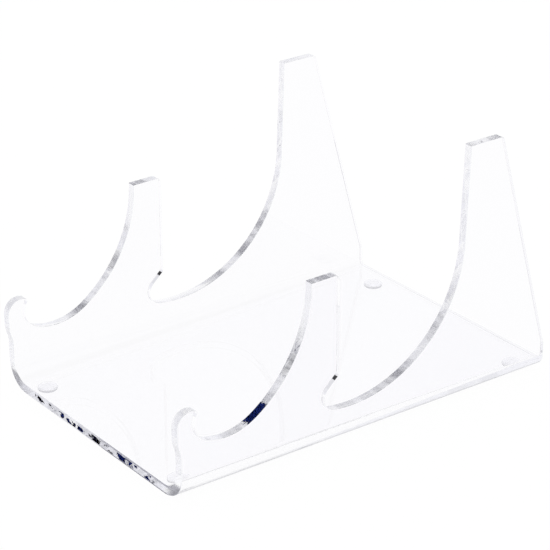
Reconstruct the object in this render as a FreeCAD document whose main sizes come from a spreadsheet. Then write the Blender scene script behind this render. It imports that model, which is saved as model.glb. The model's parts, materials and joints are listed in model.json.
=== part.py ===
import FreeCAD, Part
import math
import os
import Sketcher

# Plate display stand: one clear acrylic sheet bent into a channel with two upright
# side panels. Each panel carries a front plate seat with a hooked lip, and a larger
# rear plate seat with a notch. Four round stick-on bumpers carry the base.
#
# Row frame: +Z up, front towards -Y, X across the stand. The origin is on the
# floor at the centre of the stand's footprint. All sizes are millimetres and degrees.
#
# The panel outline is drawn in the sheet's own frame: depth runs back from the
# front edge of the base, height runs up from the underside of the base.

SIZES = [
    # bent sheet
    ("stand_width", 140.0),
    ("sheet_thickness", 4.5),
    ("front_bend_radius", 9.0),
    ("rear_bend_radius", 1.0),
    ("base_depth", 211.0),
    ("edge_round", 0.4),
    # rear peak
    ("peak_height", 126.0),
    ("peak_corner_radius", 3.0),
    ("peak_front_lean", 2.0),
    ("rear_edge_lean", 15.8),
    ("kink_radius", 8.0),
    ("kink_height", 11.5),
    # rear plate seat
    ("seat_radius", 63.5),
    ("rear_seat_depth", 94.2),
    ("rear_seat_height", 81.6),
    ("notch_radius", 6.5),
    ("notch_depth", 84.0),
    ("notch_slope", 42.0),
    # middle peak
    ("middle_height", 84.7),
    ("middle_rear_depth", 85.5),
    ("middle_top_radius", 3.0),
    ("middle_foot_radius", 2.0),
    # front plate seat
    ("front_seat_depth", 6.1),
    ("front_seat_height", 83.8),
    ("floor_radius", 30.0),
    ("floor_depth", 24.0),
    ("neck_radius", 10.0),
    ("neck_depth", 17.4),
    # hooked front lip
    ("lip_overhang", 1.7),
    ("lip_radius", 6.9),
    ("lip_centre_height", 37.1),
    ("lip_tip_radius", 1.4),
    ("sway_radius", 14.0),
    ("front_edge_height", 22.2),
    # bumper feet
    ("foot_diameter", 9.5),
    ("foot_height", 1.6),
    ("foot_rim_radius", 1.1),
    ("pad_diameter", 9.0),
    ("pad_thickness", 0.2),
    ("front_left_across", 52.5),
    ("front_left_depth", 9.5),
    ("front_right_across", 52.5),
    ("front_right_depth", 10.0),
    ("rear_left_across", 46.0),
    ("rear_left_depth", 202.0),
    ("rear_right_across", 59.0),
    ("rear_right_depth", 199.0),
    # distance by which cutting shapes run past the sheet
    ("cutting_margin", 10.0),
]
size = dict(SIZES)
MARGIN = size["cutting_margin"]

doc = FreeCAD.newDocument("plate_display_stand")

sheet = doc.addObject("Spreadsheet::Sheet", "Sizes")
for row, (name, value) in enumerate(SIZES, start=1):
    sheet.set("A%d" % row, name)
    sheet.set("B%d" % row, str(value))
    sheet.setAlias("B%d" % row, name)
doc.recompute()


def point(depth, height):
    return FreeCAD.Vector(depth, height, 0)


def on_circle(centre, radius, degrees):
    angle = math.radians(degrees)
    return point(centre.x + radius * math.cos(angle), centre.y + radius * math.sin(angle))


def centre_below(centre, gap, depth):
    """Centre at a given depth and a given distance below another centre."""
    return point(depth, centre.y - math.sqrt(gap ** 2 - (depth - centre.x) ** 2))


def towards(start, end, distance):
    return start + (end - start) * (distance / (end - start).Length)


class Outline:
    """Adds one closed run of lines and arcs to a sketch and joins their ends."""

    def __init__(self, sketch):
        self.sketch = sketch
        self.parts = {}

    def line(self, name, start, end):
        index = self.sketch.addGeometry(Part.LineSegment(start, end), False)
        self.parts[name] = (index, 1, 2)

    def arc(self, name, centre, start, end, anticlockwise):
        radius = (start - centre).Length
        first = start if anticlockwise else end
        last = end if anticlockwise else start
        angle_first = math.atan2(first.y - centre.y, first.x - centre.x)
        angle_last = math.atan2(last.y - centre.y, last.x - centre.x)
        if angle_last < angle_first:
            angle_last += 2 * math.pi
        circle = Part.Circle(centre, FreeCAD.Vector(0, 0, 1), radius)
        index = self.sketch.addGeometry(Part.ArcOfCircle(circle, angle_first, angle_last), False)
        self.parts[name] = (index, 1, 2) if anticlockwise else (index, 2, 1)

    def join(self, smooth):
        """Close the run; every join named in smooth is tangent, the others are corners."""
        names = list(self.parts)
        for position, name in enumerate(names):
            following = names[(position + 1) % len(names)]
            index, unused, end = self.parts[name]
            next_index, start, unused = self.parts[following]
            kind = "Tangent" if (name, following) in smooth else "Coincident"
            self.sketch.addConstraint(Sketcher.Constraint(kind, index, end, next_index, start))

    def index(self, name):
        return self.parts[name][0]

    def level(self, *names):
        for name in names:
            self.sketch.addConstraint(Sketcher.Constraint("Horizontal", self.index(name)))

    def upright(self, *names):
        for name in names:
            self.sketch.addConstraint(Sketcher.Constraint("Vertical", self.index(name)))

    def bind(self, label, kind, where, value, formula):
        """Add a dimension and drive it from the spreadsheet."""
        number = self.sketch.addConstraint(Sketcher.Constraint(kind, *where, value))
        self.sketch.renameConstraint(number, label)
        self.sketch.setExpression("Constraints." + label, formula)

    def radius(self, name, alias):
        self.bind(name + "_radius", "Radius", (self.index(name),), size[alias], "Sizes." + alias)

    def across(self, name, end, distance, formula):
        """Distance of a point to the right of the sketch origin."""
        self.bind(name + "_across", "DistanceX", (-1, 1, self.index(name), end), distance, formula)

    def above(self, name, end, distance, formula):
        """Distance of a point above the sketch origin."""
        self.bind(name + "_above", "DistanceY", (-1, 1, self.index(name), end), distance, formula)

    def slope(self, name, degrees, formula):
        """Direction of a line, measured from the horizontal."""
        self.bind(name + "_slope", "Angle", (self.index(name),), math.radians(degrees), formula)


CENTRE = 3


def plane_of(body, role):
    return [feature for feature in body.Origin.OriginFeatures if feature.Role == role][0]


def add_sketch(body, role, name):
    sketch = body.newObject("Sketcher::SketchObject", name)
    sketch.AttachmentSupport = [(plane_of(body, role), "")]
    sketch.MapMode = "FlatFace"
    return sketch


def require_solid(thing):
    if "Invalid" in thing.State or "Error" in thing.State:
        raise RuntimeError(thing.Label + " did not compute")


# ---------------------------------------------------------------- bent sheet
acrylic = doc.addObject("PartDesign::Body", "acrylic_body")
acrylic.Label = "acrylic_body"

half_width = size["stand_width"] / 2
thickness = size["sheet_thickness"]
peak_height = size["peak_height"]


def add_section(name, radius_alias, depth, depth_formula):
    """U-shaped cross-section of the bent sheet at one depth."""
    sketch = add_sketch(acrylic, "XZ_Plane", name)
    sketch.AttachmentOffset = FreeCAD.Placement(FreeCAD.Vector(0, 0, -depth), FreeCAD.Rotation())
    sketch.setExpression("AttachmentOffset.Base.z", depth_formula)
    inner_radius = size[radius_alias]
    outer_radius = inner_radius + thickness
    left_centre = point(-half_width + outer_radius, outer_radius)
    right_centre = point(half_width - outer_radius, outer_radius)
    section = Outline(sketch)
    section.line("outer_base", on_circle(left_centre, outer_radius, 270),
                 on_circle(right_centre, outer_radius, 270))
    section.arc("outer_right", right_centre, on_circle(right_centre, outer_radius, 270),
                on_circle(right_centre, outer_radius, 0), True)
    section.line("right_face", on_circle(right_centre, outer_radius, 0),
                 point(half_width, peak_height))
    section.line("right_top", point(half_width, peak_height),
                 point(half_width - thickness, peak_height))
    section.line("right_inside", point(half_width - thickness, peak_height),
                 on_circle(right_centre, inner_radius, 0))
    section.arc("inner_right", right_centre, on_circle(right_centre, inner_radius, 0),
                on_circle(right_centre, inner_radius, 270), False)
    section.line("inner_base", on_circle(right_centre, inner_radius, 270),
                 on_circle(left_centre, inner_radius, 270))
    section.arc("inner_left", left_centre, on_circle(left_centre, inner_radius, 270),
                on_circle(left_centre, inner_radius, 180), False)
    section.line("left_inside", on_circle(left_centre, inner_radius, 180),
                 point(-half_width + thickness, peak_height))
    section.line("left_top", point(-half_width + thickness, peak_height),
                 point(-half_width, peak_height))
    section.line("left_face", point(-half_width, peak_height),
                 on_circle(left_centre, outer_radius, 180))
    section.arc("outer_left", left_centre, on_circle(left_centre, outer_radius, 180),
                on_circle(left_centre, outer_radius, 270), True)
    section.join({
        ("outer_base", "outer_right"), ("outer_right", "right_face"),
        ("right_inside", "inner_right"), ("inner_right", "inner_base"),
        ("inner_base", "inner_left"), ("inner_left", "left_inside"),
        ("left_face", "outer_left"), ("outer_left", "outer_base"),
    })
    section.level("outer_base", "inner_base", "right_top", "left_top")
    section.upright("right_face", "left_face", "right_inside", "left_inside")
    sketch.addConstraint(
        Sketcher.Constraint("PointOnObject", section.index("outer_base"), 1, -1))
    for arc_name in ("inner_right", "inner_left"):
        section.radius(arc_name, radius_alias)
    for arc_name in ("outer_right", "outer_left"):
        section.bind(arc_name + "_radius", "Radius", (section.index(arc_name),), outer_radius,
                     "Sizes." + radius_alias + " + Sizes.sheet_thickness")
    section.above("inner_base", 1, thickness, "Sizes.sheet_thickness")
    section.above("right_top", 1, peak_height, "Sizes.peak_height")
    section.above("left_top", 1, peak_height, "Sizes.peak_height")
    section.across("right_face", 1, half_width, "Sizes.stand_width / 2")
    section.bind("left_reach", "DistanceX", (section.index("left_face"), 1, -1, 1), half_width,
                 "Sizes.stand_width / 2")
    section.bind("right_thickness", "DistanceX",
                 (section.index("right_inside"), 1, section.index("right_face"), 2), thickness,
                 "Sizes.sheet_thickness")
    section.bind("left_thickness", "DistanceX",
                 (section.index("left_face"), 1, section.index("left_inside"), 2), thickness,
                 "Sizes.sheet_thickness")
    return sketch


# The two bends were formed by hand over a heated line: they are open at the front
# of the sheet and draw tighter towards the rear.
front_section = add_section("front_section", "front_bend_radius", -MARGIN, "Sizes.cutting_margin")
rear_section = add_section("rear_section", "rear_bend_radius", size["base_depth"] + MARGIN,
                           "-Sizes.base_depth - Sizes.cutting_margin")
doc.recompute()

channel = acrylic.newObject("PartDesign::AdditiveLoft", "bent_channel")
channel.Profile = front_section
channel.Sections = [rear_section]
channel.Ruled = True
doc.recompute()
require_solid(channel)


# Side outline of both panels, seen from the side. It is kept; all round it is cut away.
base_depth = size["base_depth"]
seat_radius = size["seat_radius"]
rear_lean = math.radians(size["rear_edge_lean"])
front_lean = math.radians(size["peak_front_lean"])
slope = math.radians(size["notch_slope"])
lip_front = -size["lip_overhang"]

# the rear edge stands upright just past the bend, then leans forward
kink_radius = size["kink_radius"]
kink_centre = point(base_depth - kink_radius, size["kink_height"])
kink_low = on_circle(kink_centre, kink_radius, 0)
kink_high = on_circle(kink_centre, kink_radius, size["rear_edge_lean"])
corner = size["peak_corner_radius"]
corner_height = peak_height - corner
corner_centre = point(
    kink_high.x - (corner_height - kink_high.y) * math.tan(rear_lean) - corner / math.cos(rear_lean),
    corner_height)
slant_top = on_circle(corner_centre, corner, size["rear_edge_lean"])
peak_rear = on_circle(corner_centre, corner, 90)

rear_centre = point(size["rear_seat_depth"], size["rear_seat_height"])
rear_seat_top = on_circle(rear_centre, seat_radius, -size["peak_front_lean"])
peak_front = point(
    rear_seat_top.x + (peak_height - rear_seat_top.y) * math.tan(front_lean), peak_height)

notch_radius = size["notch_radius"]
notch_centre = centre_below(rear_centre, seat_radius - notch_radius, size["notch_depth"])
rear_seat_low = towards(rear_centre, notch_centre, seat_radius)
notch_end = on_circle(notch_centre, notch_radius, 90 + size["notch_slope"])

foot_radius = size["middle_foot_radius"]
foot_depth = size["middle_rear_depth"] - foot_radius
foot_centre = point(
    foot_depth,
    notch_end.y + (foot_radius + (foot_depth - notch_end.x) * math.sin(slope)) / math.cos(slope))
foot_low = on_circle(foot_centre, foot_radius, size["notch_slope"] - 90)
foot_high = on_circle(foot_centre, foot_radius, 0)

middle_height = size["middle_height"]
top_radius = size["middle_top_radius"]
top_centre = point(size["middle_rear_depth"] - top_radius, middle_height - top_radius)
middle_rear = on_circle(top_centre, top_radius, 0)
middle_top = on_circle(top_centre, top_radius, 90)

front_centre = point(size["front_seat_depth"], size["front_seat_height"])
middle_front = point(
    front_centre.x + math.sqrt(seat_radius ** 2 - (middle_height - front_centre.y) ** 2),
    middle_height)

floor_radius = size["floor_radius"]
floor_centre = centre_below(front_centre, seat_radius - floor_radius, size["floor_depth"])
front_seat_low = towards(front_centre, floor_centre, seat_radius)
neck_radius = size["neck_radius"]
neck_centre = centre_below(floor_centre, floor_radius - neck_radius, size["neck_depth"])
floor_front = towards(floor_centre, neck_centre, floor_radius)

# the tip circle touches the lip circle from inside and the neck circle from outside
lip_radius = size["lip_radius"]
tip_radius = size["lip_tip_radius"]
lip_centre = point(lip_front + lip_radius, size["lip_centre_height"])
lip_to_tip = lip_radius - tip_radius
neck_to_tip = neck_radius + tip_radius
span = (neck_centre - lip_centre).Length
along = (lip_to_tip ** 2 - neck_to_tip ** 2 + span ** 2) / (2 * span)
rise = math.sqrt(lip_to_tip ** 2 - along ** 2)
ahead = (neck_centre - lip_centre) / span
tip_centre = lip_centre + ahead * along + point(-ahead.y, ahead.x) * rise
neck_top = towards(neck_centre, tip_centre, neck_radius)
tip_top = towards(lip_centre, tip_centre, lip_radius)
lip_side = point(lip_front, lip_centre.y)

sway_radius = size["sway_radius"]
sway = math.degrees(math.acos(1 - size["lip_overhang"] / (2 * sway_radius)))
low_sway_centre = point(-sway_radius, size["front_edge_height"])
sway_middle = on_circle(low_sway_centre, sway_radius, sway)
high_sway_centre = low_sway_centre + (sway_middle - low_sway_centre) * 2
sway_top = on_circle(high_sway_centre, sway_radius, 180)
front_edge_top = point(0, size["front_edge_height"])

profile_sketch = add_sketch(acrylic, "YZ_Plane", "panel_outline")
profile = Outline(profile_sketch)
profile.line("underside", point(0, -MARGIN / 2), point(base_depth, -MARGIN / 2))
profile.line("rear_upright", point(base_depth, -MARGIN / 2), kink_low)
profile.arc("kink", kink_centre, kink_low, kink_high, True)
profile.line("rear_edge", kink_high, slant_top)
profile.arc("peak_corner", corner_centre, slant_top, peak_rear, True)
profile.line("peak_top", peak_rear, peak_front)
profile.line("peak_front", peak_front, rear_seat_top)
profile.arc("rear_seat", rear_centre, rear_seat_top, rear_seat_low, False)
profile.arc("notch", notch_centre, rear_seat_low, notch_end, False)
profile.line("notch_ramp", notch_end, foot_low)
profile.arc("middle_foot", foot_centre, foot_low, foot_high, True)
profile.line("middle_rear", foot_high, middle_rear)
profile.arc("middle_corner", top_centre, middle_rear, middle_top, True)
profile.line("middle_top", middle_top, middle_front)
profile.arc("front_seat", front_centre, middle_front, front_seat_low, False)
profile.arc("seat_floor", floor_centre, front_seat_low, floor_front, False)
profile.arc("neck", neck_centre, floor_front, neck_top, False)
profile.arc("lip_tip", tip_centre, neck_top, tip_top, True)
profile.arc("lip_top", lip_centre, tip_top, lip_side, True)
profile.line("lip_face", lip_side, sway_top)
profile.arc("high_sway", high_sway_centre, sway_top, sway_middle, True)
profile.arc("low_sway", low_sway_centre, sway_middle, front_edge_top, False)
profile.line("front_edge", front_edge_top, point(0, -MARGIN / 2))
profile.join({
    ("rear_upright", "kink"), ("kink", "rear_edge"), ("rear_edge", "peak_corner"),
    ("peak_corner", "peak_top"), ("peak_front", "rear_seat"),
    ("rear_seat", "notch"), ("notch", "notch_ramp"), ("notch_ramp", "middle_foot"),
    ("middle_foot", "middle_rear"), ("middle_rear", "middle_corner"),
    ("middle_corner", "middle_top"), ("front_seat", "seat_floor"), ("seat_floor", "neck"),
    ("neck", "lip_tip"), ("lip_tip", "lip_top"), ("lip_top", "lip_face"),
    ("lip_face", "high_sway"), ("high_sway", "low_sway"), ("low_sway", "front_edge"),
})
profile.level("underside", "peak_top", "middle_top")
profile.upright("rear_upright", "middle_rear", "lip_face", "front_edge")
profile_sketch.addConstraint(
    Sketcher.Constraint("PointOnObject", profile.index("underside"), 1, -2))
profile.bind("underside_drop", "DistanceY", (profile.index("underside"), 1, -1, 1), MARGIN / 2,
             "Sizes.cutting_margin / 2")
profile.across("rear_upright", 1, base_depth, "Sizes.base_depth")
profile.above("rear_upright", 2, kink_centre.y, "Sizes.kink_height")
profile.radius("kink", "kink_radius")
profile.slope("rear_edge", 90 + size["rear_edge_lean"], "(90 + Sizes.rear_edge_lean) * 1 deg")
profile.radius("peak_corner", "peak_corner_radius")
profile.above("peak_top", 1, peak_height, "Sizes.peak_height")
profile.slope("peak_front", -90 - size["peak_front_lean"], "(-90 - Sizes.peak_front_lean) * 1 deg")
profile.radius("rear_seat", "seat_radius")
profile.across("rear_seat", CENTRE, rear_centre.x, "Sizes.rear_seat_depth")
profile.above("rear_seat", CENTRE, rear_centre.y, "Sizes.rear_seat_height")
profile.radius("notch", "notch_radius")
profile.across("notch", CENTRE, notch_centre.x, "Sizes.notch_depth")
profile.slope("notch_ramp", size["notch_slope"], "Sizes.notch_slope * 1 deg")
profile.radius("middle_foot", "middle_foot_radius")
profile.across("middle_rear", 1, foot_high.x, "Sizes.middle_rear_depth")
profile.radius("middle_corner", "middle_top_radius")
profile.above("middle_top", 1, middle_height, "Sizes.middle_height")
profile.radius("front_seat", "seat_radius")
profile.across("front_seat", CENTRE, front_centre.x, "Sizes.front_seat_depth")
profile.above("front_seat", CENTRE, front_centre.y, "Sizes.front_seat_height")
profile.radius("seat_floor", "floor_radius")
profile.across("seat_floor", CENTRE, floor_centre.x, "Sizes.floor_depth")
profile.radius("neck", "neck_radius")
profile.across("neck", CENTRE, neck_centre.x, "Sizes.neck_depth")
profile.radius("lip_tip", "lip_tip_radius")
profile.radius("lip_top", "lip_radius")
profile.above("lip_top", CENTRE, lip_centre.y, "Sizes.lip_centre_height")
profile.bind("lip_reach", "DistanceX", (profile.index("lip_face"), 1, -1, 1), -lip_front,
             "Sizes.lip_overhang")
profile.radius("high_sway", "sway_radius")
profile.radius("low_sway", "sway_radius")
profile.above("front_edge", 1, front_edge_top.y, "Sizes.front_edge_height")

# frame of waste material round the outline
waste_front = -2 * MARGIN
waste_rear = base_depth + 3 * MARGIN
waste_low = -2 * MARGIN
waste_high = peak_height + 2 * MARGIN
waste = Outline(profile_sketch)
waste.line("waste_low", point(waste_front, waste_low), point(waste_rear, waste_low))
waste.line("waste_rear", point(waste_rear, waste_low), point(waste_rear, waste_high))
waste.line("waste_high", point(waste_rear, waste_high), point(waste_front, waste_high))
waste.line("waste_front", point(waste_front, waste_high), point(waste_front, waste_low))
waste.join(set())
waste.level("waste_low", "waste_high")
waste.upright("waste_rear", "waste_front")
waste.bind("waste_front_reach", "DistanceX", (waste.index("waste_front"), 2, -1, 1),
           -waste_front, "2 * Sizes.cutting_margin")
waste.bind("waste_drop", "DistanceY", (waste.index("waste_low"), 1, -1, 1),
           -waste_low, "2 * Sizes.cutting_margin")
waste.across("waste_rear", 1, waste_rear, "Sizes.base_depth + 3 * Sizes.cutting_margin")
waste.above("waste_high", 1, waste_high, "Sizes.peak_height + 2 * Sizes.cutting_margin")
doc.recompute()

trim = acrylic.newObject("PartDesign::Pocket", "trim_to_outline")
trim.Profile = profile_sketch
trim.SideType = "Symmetric"
trim.Length = size["stand_width"] + 2 * MARGIN
trim.setExpression("Length", "Sizes.stand_width + 2 * Sizes.cutting_margin")
doc.recompute()
require_solid(trim)


def is_sharp(shape, edge):
    """True where the two faces beside an edge meet at a clear angle."""
    faces = shape.ancestorsOfType(edge, Part.Face)
    if len(faces) != 2:
        return False
    middle = edge.valueAt((edge.FirstParameter + edge.LastParameter) / 2)
    normals = []
    for face in faces:
        across, along_face = face.Surface.parameter(middle)
        normals.append(face.normalAt(across, along_face))
    return math.degrees(normals[0].getAngle(normals[1])) > 30


# Cut edges are lightly rounded, as polished acrylic edges are.
sharp_edges = [
    "Edge%d" % number
    for number, edge in enumerate(trim.Shape.Edges, start=1)
    if is_sharp(trim.Shape, edge)
]
polish = acrylic.newObject("PartDesign::Fillet", "polished_edges")
polish.Base = (trim, sharp_edges)
polish.Radius = size["edge_round"]
polish.setExpression("Radius", "Sizes.edge_round")
doc.recompute()
require_solid(polish)

# Seat the sheet on its feet with its footprint centred on the origin.
acrylic.setExpression("Placement.Base.y", "(Sizes.lip_overhang - Sizes.base_depth) / 2")
acrylic.setExpression("Placement.Base.z", "Sizes.foot_height + Sizes.pad_thickness")

# ---------------------------------------------------------------- bumper feet
subparts = [acrylic]
for corner_name, side in (("front_left", -1), ("front_right", 1), ("rear_left", -1), ("rear_right", 1)):
    # Turned bumper: flat underneath, rounded rim, straight wall at the top.
    foot = doc.addObject("PartDesign::Body", "foot_" + corner_name)
    foot.Label = "foot_" + corner_name
    wall = size["foot_diameter"] / 2
    height = size["foot_height"]
    rim = size["foot_rim_radius"]
    rim_centre = point(wall - rim, rim)
    half_sketch = add_sketch(foot, "XZ_Plane", "half_profile_" + corner_name)
    half = Outline(half_sketch)
    half.line("tread", point(0, 0), point(wall - rim, 0))
    half.arc("rim", rim_centre, point(wall - rim, 0), point(wall, rim), True)
    half.line("wall", point(wall, rim), point(wall, height))
    half.line("top", point(wall, height), point(0, height))
    half.line("axis", point(0, height), point(0, 0))
    half.join({("tread", "rim"), ("rim", "wall")})
    half.level("tread", "top")
    half.upright("wall", "axis")
    half_sketch.addConstraint(Sketcher.Constraint("Coincident", half.index("tread"), 1, -1, 1))
    half.radius("rim", "foot_rim_radius")
    half.across("wall", 2, wall, "Sizes.foot_diameter / 2")
    half.above("top", 1, height, "Sizes.foot_height")
    doc.recompute()
    turned = foot.newObject("PartDesign::Revolution", "bumper_" + corner_name)
    turned.Profile = half_sketch
    turned.ReferenceAxis = (half_sketch, ["V_Axis"])
    turned.Angle = 360
    doc.recompute()
    require_solid(turned)

    # Thin self-adhesive disc between the bumper and the sheet.
    pad = doc.addObject("Part::Cylinder", "adhesive_" + corner_name)
    pad.Label = "adhesive_" + corner_name
    pad.setExpression("Radius", "Sizes.pad_diameter / 2")
    pad.setExpression("Height", "Sizes.pad_thickness")

    centre_line = "Sizes.%s_depth + (Sizes.lip_overhang - Sizes.base_depth) / 2" % corner_name
    for thing in (foot, pad):
        thing.setExpression("Placement.Base.x", "%d * Sizes.%s_across" % (side, corner_name))
        thing.setExpression("Placement.Base.y", centre_line)
    pad.setExpression("Placement.Base.z", "Sizes.foot_height")
    subparts += [foot, pad]

doc.recompute()

# ---------------------------------------------------------------- checks and export
for thing in doc.Objects:
    require_solid(thing)

os.makedirs("parts", exist_ok=True)
for subpart in subparts:
    shape = subpart.Shape
    if shape.isNull() or not shape.isValid() or len(shape.Solids) != 1:
        raise RuntimeError(subpart.Label + " is not one valid solid")
    shape.exportStep("parts/" + subpart.Label + ".step")
    box = shape.BoundBox
    print("%-22s volume %10.1f  x %.2f..%.2f  y %.2f..%.2f  z %.2f..%.2f" % (
        subpart.Label, shape.Volume, box.XMin, box.XMax, box.YMin, box.YMax, box.ZMin, box.ZMax))
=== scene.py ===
import json
import math

import bpy
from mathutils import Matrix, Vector


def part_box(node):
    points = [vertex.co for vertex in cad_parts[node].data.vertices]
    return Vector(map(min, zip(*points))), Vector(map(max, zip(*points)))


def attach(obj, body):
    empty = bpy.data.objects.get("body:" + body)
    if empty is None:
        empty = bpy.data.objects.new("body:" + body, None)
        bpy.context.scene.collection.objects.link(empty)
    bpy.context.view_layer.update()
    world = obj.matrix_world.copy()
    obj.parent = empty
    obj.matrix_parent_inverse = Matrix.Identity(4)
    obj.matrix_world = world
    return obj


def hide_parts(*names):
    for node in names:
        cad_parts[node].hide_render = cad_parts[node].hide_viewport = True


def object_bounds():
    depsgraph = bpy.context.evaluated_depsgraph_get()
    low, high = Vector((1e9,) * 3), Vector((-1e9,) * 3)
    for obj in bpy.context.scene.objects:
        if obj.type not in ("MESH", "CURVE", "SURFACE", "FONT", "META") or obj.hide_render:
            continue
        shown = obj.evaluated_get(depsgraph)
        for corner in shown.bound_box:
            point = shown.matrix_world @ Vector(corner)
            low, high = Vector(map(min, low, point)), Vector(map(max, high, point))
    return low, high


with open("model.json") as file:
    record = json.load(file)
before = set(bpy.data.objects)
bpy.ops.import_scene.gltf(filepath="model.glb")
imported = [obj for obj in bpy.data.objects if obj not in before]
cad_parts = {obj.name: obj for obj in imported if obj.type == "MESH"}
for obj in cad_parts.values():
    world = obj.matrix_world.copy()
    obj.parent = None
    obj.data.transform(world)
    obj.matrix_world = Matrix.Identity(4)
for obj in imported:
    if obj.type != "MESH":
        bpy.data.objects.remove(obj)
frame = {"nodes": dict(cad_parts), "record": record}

cad_low, cad_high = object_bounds()
scene = bpy.context.scene
scene.view_settings.view_transform = "Standard"
# Light runs far along inside the sheet, and a lower limit turns its cut edges black
LIGHT_BOUNCES = 400
INDIRECT_CLAMP = 10.0
scene.cycles.max_bounces = LIGHT_BOUNCES
scene.cycles.glossy_bounces = LIGHT_BOUNCES
scene.cycles.transmission_bounces = LIGHT_BOUNCES
scene.cycles.sample_clamp_indirect = INDIRECT_CLAMP

# ---------------------------------------------------------------- helpers


class Nodes:
    """Small wrapper for building a node tree in code."""

    def __init__(self, tree):
        self.tree = tree
        tree.nodes.clear()

    def add(self, kind, inputs=None, **settings):
        node = self.tree.nodes.new(kind)
        for name, value in settings.items():
            setattr(node, name, value)
        for name, value in (inputs or {}).items():
            self.feed(node.inputs[name], value)
        return node

    def feed(self, socket, value):
        if isinstance(value, bpy.types.NodeSocket):
            self.tree.links.new(value, socket)
        else:
            socket.default_value = value

    def math(self, operation, first, second=0.0):
        return self.add("ShaderNodeMath", {0: first, 1: second}, operation=operation).outputs[0]

    def size(self, value):
        """A value without its sign."""
        return self.math("ABSOLUTE", value)

    def opposite(self, mask):
        return self.math("SUBTRACT", 1.0, mask)

    def both(self, *masks):
        """Product of masks."""
        product = masks[0]
        for mask in masks[1:]:
            product = self.math("MULTIPLY", product, mask)
        return product

    def dot(self, first, second):
        return self.add("ShaderNodeVectorMath", {0: first, 1: second},
                        operation="DOT_PRODUCT").outputs["Value"]

    def parts(self, vector):
        """The X, Y and Z of a vector."""
        return self.add("ShaderNodeSeparateXYZ", {0: vector}).outputs

    def ramp(self, value, low, high, at_low=0.0, at_high=1.0):
        """Smooth step of a value from one level to another."""
        node = self.add("ShaderNodeMapRange", {
            "Value": value, "From Min": low, "From Max": high, "To Min": at_low, "To Max": at_high,
        }, interpolation_type="SMOOTHSTEP")
        return node.outputs["Result"]

    def fade(self, value, limits, origin=0.0, at_low=0.0, at_high=1.0):
        """Smooth step that starts at the first limit and ends at the second, both from an origin."""
        return self.ramp(value, origin + limits[0], origin + limits[1], at_low, at_high)

    def mix(self, share, first, second):
        """Mix of two colours. The Mix node has them at inputs 6 and 7, and the result at output 2."""
        node = self.add("ShaderNodeMix", {0: share, 6: first, 7: second}, data_type="RGBA")
        return node.outputs[2]

    def mix_value(self, share, first, second):
        """Mix of two numbers. The Mix node has them at inputs 2 and 3, and the result at output 0."""
        return self.add("ShaderNodeMix", {0: share, 2: first, 3: second}, data_type="FLOAT").outputs[0]

    def spot(self, way, centre, inner, outer):
        """1 within inner degrees of a unit direction, 0 beyond outer degrees."""
        return self.ramp(self.dot(way, centre), math.cos(math.radians(outer)),
                         math.cos(math.radians(inner)))

    def thrown_back(self):
        """1 for rays that a surface has reflected before, 0 for direct and straight-through ones."""
        depth = self.add("ShaderNodeLightPath").outputs["Glossy Depth"]
        return self.math("GREATER_THAN", depth, 0.5)

    def noise(self, vector, scale, detail, roughness=0.5):
        node = self.add("ShaderNodeTexNoise", {
            "Vector": vector, "Scale": scale, "Detail": detail, "Roughness": roughness})
        return node.outputs["Fac"]


def new_material(name):
    material = bpy.data.materials.new(name)
    material.use_nodes = True
    return material, Nodes(material.node_tree)


def direction(azimuth, elevation):
    """Unit vector at an azimuth from +X and an elevation, both in degrees."""
    azimuth, elevation = math.radians(azimuth), math.radians(elevation)
    return Vector((math.cos(elevation) * math.cos(azimuth), math.cos(elevation) * math.sin(azimuth),
                   math.sin(elevation)))


# ---------------------------------------------------------------- places taken from the frame
# The design's sheet thickness, how far the lips stand out before the base's front cut, a height just
# above the bends, and how high above its low point the floor of a front seat counts as level
SHEET, LIP_OVERHANG, BEND_RISE, SEAT_FLOOR_RISE = 0.0045, 0.0017, 0.0142, 0.008
body_low, body_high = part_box("acrylic_body")
UNDERSIDE = body_low.z
TOP = UNDERSIDE + SHEET
BEND_TOP = UNDERSIDE + BEND_RISE
FRONT = body_low.y + LIP_OVERHANG
PANEL = body_high.x - SHEET / 2
seats = {mount["name"]: Vector(mount["pos_m"]) for mount in frame["record"]["mounts"]}
FRONT_SEAT, REAR_SEAT = seats["front_plate_seat"], seats["rear_plate_seat"]
SEAT_FLOOR_TOP = FRONT_SEAT.z + SEAT_FLOOR_RISE
# Where the camera stands, which the painted reflections on the cuts need too
TO_CAMERA = direction(-37.4, 25.3)

# ---------------------------------------------------------------- acrylic
# Light takes the square root of a tint where it enters the sheet and again where it leaves
FACE_TINT = (0.983, 0.981, 0.992, 1)
EDGE_TINT = (0.985, 0.985, 0.995, 1)
# Painted shade on the panels' cuts: forward cuts grey, upward cuts between a dark and a light grey
FORWARD_SHADE = (0.90, 0.90, 0.925, 1)
# Painted shade along the bends' outlines, seen at a grazing angle
BEND_OUTLINE_SHADE = (0.32, 0.32, 0.34, 1)
UPWARD_SHADE_DARK, UPWARD_SHADE_LIGHT = (0.15, 0.15, 0.17, 1), (0.78, 0.78, 0.80, 1)
LIP_SHARE, LEVEL_CUT_LEFT, LEVEL_CUT_RIGHT = 0.35, 0.15, 0.60
# Painted shade on the base's front cut: drifts of grey, darker ends at the bends and dark lines along
# its borders
FRONT_SHADE_DARK, FRONT_SHADE_LIGHT = (0.50, 0.50, 0.54, 1), (0.84, 0.84, 0.87, 1)
BEND_END_SHADE = (0.14, 0.14, 0.16, 1)
UPPER_LINE_SHADE, LOWER_LINE_SHADE = (0.22, 0.22, 0.26, 1), (0.03, 0.03, 0.05, 1)
# Colours of the painted dark reflections on the cuts
REFLECTED_NAVY = (0.00003, 0.00012, 0.0050, 1)
REFLECTED_BLACK = (0.00001, 0.00001, 0.00008, 1)
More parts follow.
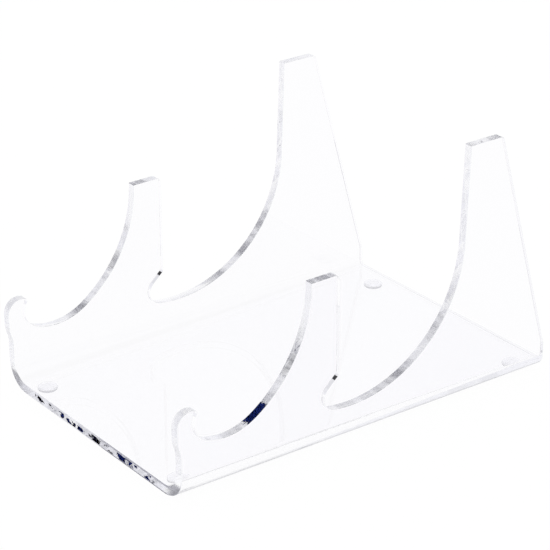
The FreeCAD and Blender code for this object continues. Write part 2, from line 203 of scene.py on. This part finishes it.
# The painted dark reflections and the painted shade line along the front cut's lower border get a
# lower index, since a clear surface would reflect light over them
ACRYLIC_IOR, PAINTED_DARK_IOR = 1.49, 1.02
EDGE_RIPPLE, EDGE_HAZE = 0.00010, 0.02
RIPPLE_SCALE, TOOL_MARK_SCALE, TOOL_MARK_SHARE = 75.0, 420.0, 0.05
THROUGH_SHARE = 0.25
DRIFT_SCALE, DRIFT_DETAIL, DRIFT_ROUGHNESS = 85.0, 5.0, 0.65

# Limits of fades: a mask is 0 at the first and 1 at the second. These are parts of a unit normal
OFF_PANEL_FACE, END_GRAIN = (0.85, 0.55), (0.10, 0.40)
FACING_FORWARD, FACING_UP, LEVEL = (-0.30, -0.80), (0.15, 0.70), (0.90, 0.99)
GRAZING = (0.42, 0.12)
# Heights from the top of the bends, from the level floors, from the sheet's top and its underside
PANEL_START, BEND_OUTLINE_TOP, FLOOR_END = (0.0, 0.0005), (0.0, -0.002), (0.005, 0.0)
UP_THE_BENDS, UPPER_LINE, LOWER_LINE = (0.0055, 0.0025), (-0.0009, -0.0005), (0.00085, 0.00055)
# Depths from the base's front cut
CUT_DEPTH, BEHIND_LIP = (0.00065, 0.00045), (0.016, 0.021)
# Widths from the middle of a panel and from the middle of the stand
BEND_OUTLINE_SIDE, BEND_END = (-0.014, -0.010), (-0.0120, -0.0040)
RIGHT_CUT, RIGHT_PANEL, LEFT_TO_RIGHT = (0.0, 0.012), (0.0, 0.01), (-0.01, 0.01)
# Levels of noise
DRIFT_LEVELS, NAVY_LEVELS = (0.38, 0.60), (0.48, 0.52)

# Painted reflections: dark marks painted on the cuts where the real stand's cuts catch dark things of
# an unknown studio.
# They show fully within the first angle of the camera's direction, in degrees, and not beyond the
# second
REFLECTIONS_FULL, REFLECTIONS_NONE = 23, 40
SPECK_SCALE, SPECK_SEED, SPECK_SQUASH = 95.0, 3.0, 1.5
SPECK_DETAIL, SPECK_ROUGHNESS, SPECK_LEVELS = 4.0, 0.62, (0.54, 0.555)
SPECK_SPREAD, SPECK_SPREAD_EVEN = 0.060, 0.048
SPECK_BAND = (0.42 * SHEET, 0.30 * SHEET)
NAVY_SCALE = 47.5
STREAK_SCALE, STREAK_DETAIL, STREAK_ROUGHNESS = 900.0, 3.0, 0.6
SEAT_REFLECTION_WAY, SEAT_REFLECTION_HALF, SEAT_REFLECTION_RAGGED, SEAT_REFLECTION_RIM = 0.27, 0.16, 0.90, (1.05, 0.95)
NOTCH_REFLECTION_FROM, NOTCH_REFLECTION_TO, NOTCH_REFLECTION_REACH = (0.008, 0.010), (0.032, 0.028), (0.0011, 0.00066)


def bend_outline_shade_mask(n, place, normal):
    """1 where a bend's skin is met from outside the sheet at a grazing angle, as on its outline, which
    gets a painted shade.
    """
    geometry = n.add("ShaderNodeNewGeometry").outputs
    from_outside = n.opposite(geometry["Backfacing"])
    low = n.fade(place["Z"], BEND_OUTLINE_TOP, BEND_TOP)
    sideways = n.fade(n.size(place["X"]), BEND_OUTLINE_SIDE, PANEL)
    grazing = n.fade(n.dot(geometry["Incoming"], normal), GRAZING)
    return n.both(from_outside, low, sideways, grazing)


def cut_edge_mask(n, facing, above_base):
    """1 on the cut edges of the panels and on the base's front and rear cuts, 0 on the faces."""
    not_panel_face = n.fade(n.size(facing["X"]), OFF_PANEL_FACE)
    end_grain = n.fade(n.size(facing["Y"]), END_GRAIN)
    return n.both(not_panel_face, n.math("MAXIMUM", above_base, end_grain))


def cut_coordinates(n, place, above_base):
    """Coordinates that run along the cut and hardly change through the sheet's thickness."""
    through_x = n.math("MULTIPLY", place["X"], THROUGH_SHARE)
    through_z = n.math("MULTIPLY", place["Z"], THROUGH_SHARE)
    return n.add("ShaderNodeCombineXYZ", {
        "X": n.mix_value(above_base, place["X"], through_x),
        "Y": place["Y"],
        "Z": n.mix_value(above_base, through_z, place["Z"]),
    }).outputs[0]


def cut_ripple(n, along_cut, edge):
    """Slow waves of the flame-polished cut with faint tool marks on them."""
    slow = n.noise(along_cut, RIPPLE_SCALE, detail=0.0)
    quick = n.noise(along_cut, TOOL_MARK_SCALE, detail=1.0)
    height = n.math("ADD", slow, n.math("MULTIPLY", quick, TOOL_MARK_SHARE))
    return n.add("ShaderNodeBump", {
        "Strength": edge, "Distance": EDGE_RIPPLE, "Height": height}).outputs[0]


def front_cut_mask(n, place):
    """1 on the base's front cut, fading out up the bends."""
    return n.both(n.fade(place["Y"], CUT_DEPTH, FRONT), n.fade(place["Z"], UP_THE_BENDS, TOP))


def lower_shade_line_mask(n, place):
    """1 along the lower border of the front cut's right half, where a dark line of shade is painted.
    """
    return n.both(n.fade(place["X"], RIGHT_CUT), n.fade(place["Z"], LOWER_LINE, UNDERSIDE))


def upward_shade_mask(n, place, facing, above_base):
    """1 on the panels' upward cuts, where their painted shade goes, less on the lips and on the level
    floors of the front seats.
    """
    upward = n.fade(facing["Z"], FACING_UP)
    behind_lip = n.fade(place["Y"], BEHIND_LIP, FRONT, at_low=LIP_SHARE)
    level = n.both(n.fade(facing["Z"], LEVEL), n.fade(place["Z"], FLOOR_END, SEAT_FLOOR_TOP))
    level_share = n.fade(place["X"], LEFT_TO_RIGHT, at_low=LEVEL_CUT_LEFT, at_high=LEVEL_CUT_RIGHT)
    return n.both(upward, above_base, behind_lip, n.mix_value(level, 1.0, level_share))


def panel_cut_tint(n, place, facing, above_base, drift):
    """Painted shade on the panels' cuts: forward cuts a shade grey, upward ones greyer still, in
    drifts.
    """
    forward = n.both(n.fade(facing["Y"], FACING_FORWARD), above_base)
    tint = n.mix(forward, EDGE_TINT, FORWARD_SHADE)
    upward = upward_shade_mask(n, place, facing, above_base)
    return n.mix(upward, tint, n.mix(drift, UPWARD_SHADE_DARK, UPWARD_SHADE_LIGHT))


def front_cut_tint(n, place, lower_shade_line, drift):
    """Painted shade on the base's front cut: drifts of grey, with dark lines on its right half and
    darker ends.
    """
    upper_shade_line = n.both(n.fade(place["Z"], UPPER_LINE, TOP), n.fade(place["X"], RIGHT_CUT))
    bend_end_shade = n.fade(n.size(place["X"]), BEND_END, PANEL)
    tint = n.mix(upper_shade_line, n.mix(drift, FRONT_SHADE_DARK, FRONT_SHADE_LIGHT), UPPER_LINE_SHADE)
    tint = n.mix(lower_shade_line, tint, LOWER_LINE_SHADE)
    return n.mix(bend_end_shade, tint, BEND_END_SHADE)


def front_cut_painted_reflections(n, place, front_cut):
    """Painted dark reflections: specks along the middle of the front cut, a noise that thins out
    towards the ends.
    """
    along = n.add("ShaderNodeCombineXYZ", {
        "X": place["X"], "Y": SPECK_SEED, "Z": n.math("MULTIPLY", place["Z"], SPECK_SQUASH)})
    across = n.size(n.math("SUBTRACT", place["Z"], (UNDERSIDE + TOP) / 2))
    inside = n.both(n.fade(across, SPECK_BAND), front_cut,
                    n.ramp(n.size(place["X"]), SPECK_SPREAD, SPECK_SPREAD_EVEN))
    noise = n.noise(along.outputs[0], SPECK_SCALE, SPECK_DETAIL, SPECK_ROUGHNESS)
    return n.fade(n.math("MULTIPLY", noise, inside), SPECK_LEVELS)


def seat_painted_reflection(n, place, streaks):
    """A ragged painted reflection on the right front seat, part of the way from its mount to the rear
    seat's.
    """
    span = REAR_SEAT.y - FRONT_SEAT.y
    centre = FRONT_SEAT.y + span * SEAT_REFLECTION_WAY
    away = n.size(n.math("SUBTRACT", place["Y"], centre))
    ragged = n.math("ADD", n.math("DIVIDE", away, span * SEAT_REFLECTION_HALF),
                    n.math("MULTIPLY", streaks, SEAT_REFLECTION_RAGGED))
    return n.both(n.fade(ragged, SEAT_REFLECTION_RIM), n.fade(place["X"], RIGHT_PANEL))


def notch_painted_reflection(n, place):
    """A painted dark reflection: a dot on each notch's overhang, straight above the rear seat's mount.
    """
    away = n.size(n.math("SUBTRACT", place["Y"], REAR_SEAT.y))
    return n.both(n.fade(place["Z"], NOTCH_REFLECTION_FROM, REAR_SEAT.z),
                  n.fade(place["Z"], NOTCH_REFLECTION_TO, REAR_SEAT.z),
                  n.fade(away, NOTCH_REFLECTION_REACH))


def painted_reflection_layers(n, coords, place, edge, front_cut):
    """Pairs of a mask and a colour, for the painted dark reflections on the cuts. No reflection shows
    them.
    """
    incoming = n.add("ShaderNodeNewGeometry").outputs["Incoming"]
    viewed = n.spot(incoming, TO_CAMERA, REFLECTIONS_FULL, REFLECTIONS_NONE)
    seen = n.both(edge, n.opposite(n.thrown_back()), viewed)
    streaks = n.noise(coords, STREAK_SCALE, STREAK_DETAIL, STREAK_ROUGHNESS)
    blue = n.fade(n.noise(coords, NAVY_SCALE, detail=0.0), NAVY_LEVELS)
    return [(n.both(seen, front_cut_painted_reflections(n, place, front_cut)), n.mix(blue, REFLECTED_BLACK, REFLECTED_NAVY)),
            (n.both(seen, seat_painted_reflection(n, place, streaks)), REFLECTED_NAVY),
            (n.both(seen, notch_painted_reflection(n, place)), REFLECTED_BLACK)]


def acrylic_material():
    """Clear cast sheet: glassy faces and rippled, slightly grey cut edges, with painted shade on the
    cuts and on the bends' outlines, and painted dark reflections on the cuts.
    """
    material, n = new_material("clear_acrylic_sheet")
    coords = n.add("ShaderNodeTexCoord").outputs["Object"]
    normal = n.add("ShaderNodeNewGeometry").outputs["Normal"]
    place, facing = n.parts(coords), n.parts(normal)
    above_base = n.fade(place["Z"], PANEL_START, BEND_TOP)
    edge = cut_edge_mask(n, facing, above_base)
    along_cut = cut_coordinates(n, place, above_base)
    front_cut = front_cut_mask(n, place)
    lower_shade_line = lower_shade_line_mask(n, place)
    drift = n.fade(n.noise(along_cut, DRIFT_SCALE, DRIFT_DETAIL, DRIFT_ROUGHNESS), DRIFT_LEVELS)
    edge_tint = n.mix(front_cut, panel_cut_tint(n, place, facing, above_base, drift),
                      front_cut_tint(n, place, lower_shade_line, drift))
    face_tint = n.mix(bend_outline_shade_mask(n, place, normal), FACE_TINT, BEND_OUTLINE_SHADE)
    tint = n.mix(edge, face_tint, edge_tint)
    # Where shade and dark reflections are painted on the cuts, for the lowered index below
    painted_dark = n.both(edge, front_cut, lower_shade_line)
    for share, color in painted_reflection_layers(n, coords, place, edge, front_cut):
        tint = n.mix(share, tint, color)
        painted_dark = n.math("MAXIMUM", painted_dark, share)
    shader = n.add("ShaderNodeBsdfPrincipled", {
        "Base Color": tint, "Roughness": n.math("MULTIPLY", edge, EDGE_HAZE),
        "IOR": n.mix_value(painted_dark, ACRYLIC_IOR, PAINTED_DARK_IOR), "Transmission Weight": 1.0,
        "Normal": cut_ripple(n, along_cut, edge)})
    n.add("ShaderNodeOutputMaterial", {"Surface": shader.outputs[0]})
    return material


sheet_materials = frame["nodes"]["acrylic_body"].data.materials
sheet_materials.clear()
sheet_materials.append(acrylic_material())

# ---------------------------------------------------------------- bumper feet
# The side wall's grey is painted shade; its satin haze is its own
BUMPER_CLEAR, BUMPER_WALL_SHADE = (0.995, 0.995, 1.0, 1), (0.34, 0.34, 0.37, 1)
BUMPER_IOR, WALL_SATIN = 1.46, 0.22
# The far wall, met from inside the bumper, takes only a share of the wall's painted shade
FAR_WALL_SHARE = 0.1
# Limits of the wall's fade, as the upright part of a unit normal
WALL = (0.80, 0.30)
TREAD_ROUND, TOP_ROUND, PAD_ROUND_SHARE = 0.0011, 0.00012, 0.3
# Rings on the bumper's flat ends, as shares of its radius
TREAD_RINGS = (0.35, 0.6)
# Film of air that keeps a clear piece from sharing a face with the next one
AIR = 0.00003
TURN_STEPS, TREAD_STEPS, TOP_STEPS, PAD_STEPS = 96, 10, 4, 3


def bumper_material():
    """Clear soft urethane: smooth treads, and a moulded side wall with a slight satin haze and a
    painted grey shade.
    """
    material, n = new_material("clear_bumper_urethane")
    geometry = n.add("ShaderNodeNewGeometry").outputs
    wall = n.fade(n.size(n.parts(geometry["Normal"])["Z"]), WALL)
    shade = n.both(wall, n.mix_value(geometry["Backfacing"], 1.0, FAR_WALL_SHARE))
    shader = n.add("ShaderNodeBsdfPrincipled", {
        "Base Color": n.mix(shade, BUMPER_CLEAR, BUMPER_WALL_SHADE),
        "Roughness": n.math("MULTIPLY", wall, WALL_SATIN), "IOR": BUMPER_IOR,
        "Transmission Weight": 1.0})
    n.add("ShaderNodeOutputMaterial", {"Surface": shader.outputs[0]})
    return material


def turned_mesh(name, outline):
    """Closed mesh turned about Z. The outline runs from the axis to the axis as (radius, height)."""
    vertices, faces, rings = [], [], []
    for radius, height in outline:
        if radius == 0.0:
            rings.append([len(vertices)])
            vertices.append((0.0, 0.0, height))
            continue
        rings.append(range(len(vertices), len(vertices) + TURN_STEPS))
        for step in range(TURN_STEPS):
            angle = 2 * math.pi * step / TURN_STEPS
            vertices.append((radius * math.cos(angle), radius * math.sin(angle), height))
    for low, high in zip(rings, rings[1:]):
        for step in range(TURN_STEPS):
            following = (step + 1) % TURN_STEPS
            if len(low) == 1:
                faces.append((low[0], high[following], high[step]))
            elif len(high) == 1:
                faces.append((low[step], low[following], high[0]))
            else:
                faces.append((low[step], low[following], high[following], high[step]))
    mesh = bpy.data.meshes.new(name)
    mesh.from_pydata(vertices, [], faces)
    mesh.shade_smooth()
    mesh.update()
    return mesh


def arc(centre, radius, first, last, steps):
    """Points on an arc, in degrees, end points included."""
    angles = [first + (last - first) * step / steps for step in range(steps + 1)]
    return [(centre[0] + radius * math.cos(math.radians(angle)),
             centre[1] + radius * math.sin(math.radians(angle))) for angle in angles]


def bumper_mesh(corner):
    """A bumper: flat tread, rounded rim, straight wall and a small round below its adhesive."""
    low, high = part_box("foot_" + corner)
    radius = (high.x - low.x) / 2
    top = high.z - low.z - AIR
    outline = [(0.0, 0.0)] + [(radius * share, 0.0) for share in TREAD_RINGS]
    outline += arc((radius - TREAD_ROUND, TREAD_ROUND), TREAD_ROUND, 270, 360, TREAD_STEPS)
    outline += arc((radius - TOP_ROUND, top - TOP_ROUND), TOP_ROUND, 0, 90, TOP_STEPS)
    outline += [(radius * TREAD_RINGS[-1], top), (0.0, top)]
    return turned_mesh("bumper_" + corner, outline)


def pad_mesh(corner):
    """A thin adhesive disc with a rounded rim, with a film of air above and below it."""
    low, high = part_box("adhesive_" + corner)
    radius = (high.x - low.x) / 2
    height = high.z - low.z - 2 * AIR
    rim = height * PAD_ROUND_SHARE
    outline = [(0.0, 0.0)] + arc((radius - rim, rim), rim, 270, 360, PAD_STEPS)
    outline += arc((radius - rim, height - rim), rim, 0, 90, PAD_STEPS) + [(0.0, height)]
    return turned_mesh("pad_" + corner, outline)


def put_piece(mesh, material, node, lift):
    """A piece in the place of a CAD node, lifted off that node's underside."""
    low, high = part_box(node)
    piece = bpy.data.objects.new(mesh.name, mesh)
    piece.location = ((low.x + high.x) / 2, (low.y + high.y) / 2, low.z + lift)
    scene.collection.objects.link(piece)
    mesh.materials.append(material)
    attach(piece, "root")
    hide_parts(node)


bumper = bumper_material()
for corner in ("front_left", "front_right", "rear_left", "rear_right"):
    put_piece(bumper_mesh(corner), bumper, "foot_" + corner, 0.0)
    put_piece(pad_mesh(corner), bumper, "adhesive_" + corner, AIR)

# ---------------------------------------------------------------- stage
FLOOR_WHITE, BACKDROP = 0.972, 0.80
FLOOR_PAINT, FLOOR_SIZE = 0.04, 60.0
SWEEP_START, SWEEP_END = 0.75, 3.0
TENT_NEUTRAL, TENT_BLUE = 0.985, 1.03
# Brightness of the tent's foot, walls, shoulder and roof, and between which heights, as the upright
# part of a unit direction, each one but the first takes over
TENT_FOOT, TENT_WALL, TENT_SHOULDER, TENT_ROOF = 0.90, 0.85, 0.82, 0.98
WALL_STARTS, SHOULDER_STARTS, ROOF_STARTS = (0.05, 0.35), (0.50, 0.62), (0.74, 0.84)
# Panels of the tent that are brighter or duller than its walls, the first one opposite the camera:
# azimuth from +X and elevation in degrees, half angle of the even middle in degrees, brightness
TENT_PANELS = [
    (143, 25, 16, 1.00),
    (20, 45, 18, 0.95),
    (-20, 45, 18, 0.95),
    (-110, 25, 24, 0.80),
    (-155, 45, 12, 0.75),
    (90, 45, 20, 0.70),
    (80, 25, 24, 0.75),
]
PANEL_FADE = 6


def floor_material():
    """Pale floor that glows evenly near the stand and sinks to the backdrop's grey far off."""
    material, n = new_material("pale_floor")
    place = n.add("ShaderNodeNewGeometry").outputs["Position"]
    distance = n.add("ShaderNodeVectorMath", {0: place}, operation="LENGTH").outputs["Value"]
    strength = n.ramp(distance, SWEEP_START, SWEEP_END, FLOOR_WHITE, BACKDROP - FLOOR_PAINT)
    glow = n.add("ShaderNodeEmission", {"Color": (1, 1, 1, 1), "Strength": strength})
    paint = n.add("ShaderNodeBsdfDiffuse", {"Color": (FLOOR_PAINT, FLOOR_PAINT, FLOOR_PAINT, 1)})
    shader = n.add("ShaderNodeAddShader", {0: glow.outputs[0], 1: paint.outputs[0]})
    n.add("ShaderNodeOutputMaterial", {"Surface": shader.outputs[0]})
    return material


def tent_color(n):
    """Light tent: brightness by height, then the panels laid over it, slightly blue."""
    way = n.add("ShaderNodeTexCoord").outputs["Generated"]
    height = n.parts(way)["Z"]
    level = n.fade(height, WALL_STARTS, at_low=TENT_FOOT, at_high=TENT_WALL)
    level = n.mix_value(n.fade(height, SHOULDER_STARTS), level, TENT_SHOULDER)
    level = n.mix_value(n.fade(height, ROOF_STARTS), level, TENT_ROOF)
    for azimuth, elevation, inner, brightness in TENT_PANELS:
        share = n.spot(way, direction(azimuth, elevation), inner, inner + PANEL_FADE)
        level = n.mix_value(share, level, brightness)
    neutral = n.math("MULTIPLY", level, TENT_NEUTRAL)
    return n.add("ShaderNodeCombineColor", {
        0: neutral, 1: neutral, 2: n.math("MULTIPLY", level, TENT_BLUE)}).outputs[0]


def studio_world():
    """A plain backdrop for what is seen directly, the tent for what polished surfaces throw back."""
    world = bpy.data.worlds.new("studio")
    world.use_nodes = True
    n = Nodes(world.node_tree)
    color = n.mix(n.thrown_back(), (BACKDROP, BACKDROP, BACKDROP, 1), tent_color(n))
    background = n.add("ShaderNodeBackground", {"Color": color, "Strength": 1.0})
    n.add("ShaderNodeOutputWorld", {"Surface": background.outputs[0]})
    return world


bpy.ops.mesh.primitive_plane_add(size=FLOOR_SIZE, location=(0, 0, 0))
floor = bpy.context.object
floor.name = "floor"
floor.data.materials.append(floor_material())
scene.world = studio_world()

# ---------------------------------------------------------------- camera
DISTANCE, LENS, SENSOR = 1.015, 143.0, 36.0
AIM_FROM_MIDDLE = Vector((0.0, -0.0013, -0.0092))

lens = bpy.data.cameras.new("camera")
lens.lens = LENS
lens.sensor_width = SENSOR
camera = bpy.data.objects.new("camera", lens)
camera.location = (cad_low + cad_high) / 2 + AIM_FROM_MIDDLE + TO_CAMERA * DISTANCE
camera.rotation_mode = "QUATERNION"
camera.rotation_quaternion = (-TO_CAMERA).to_track_quat("-Z", "Y")
scene.collection.objects.link(camera)
scene.camera = camera
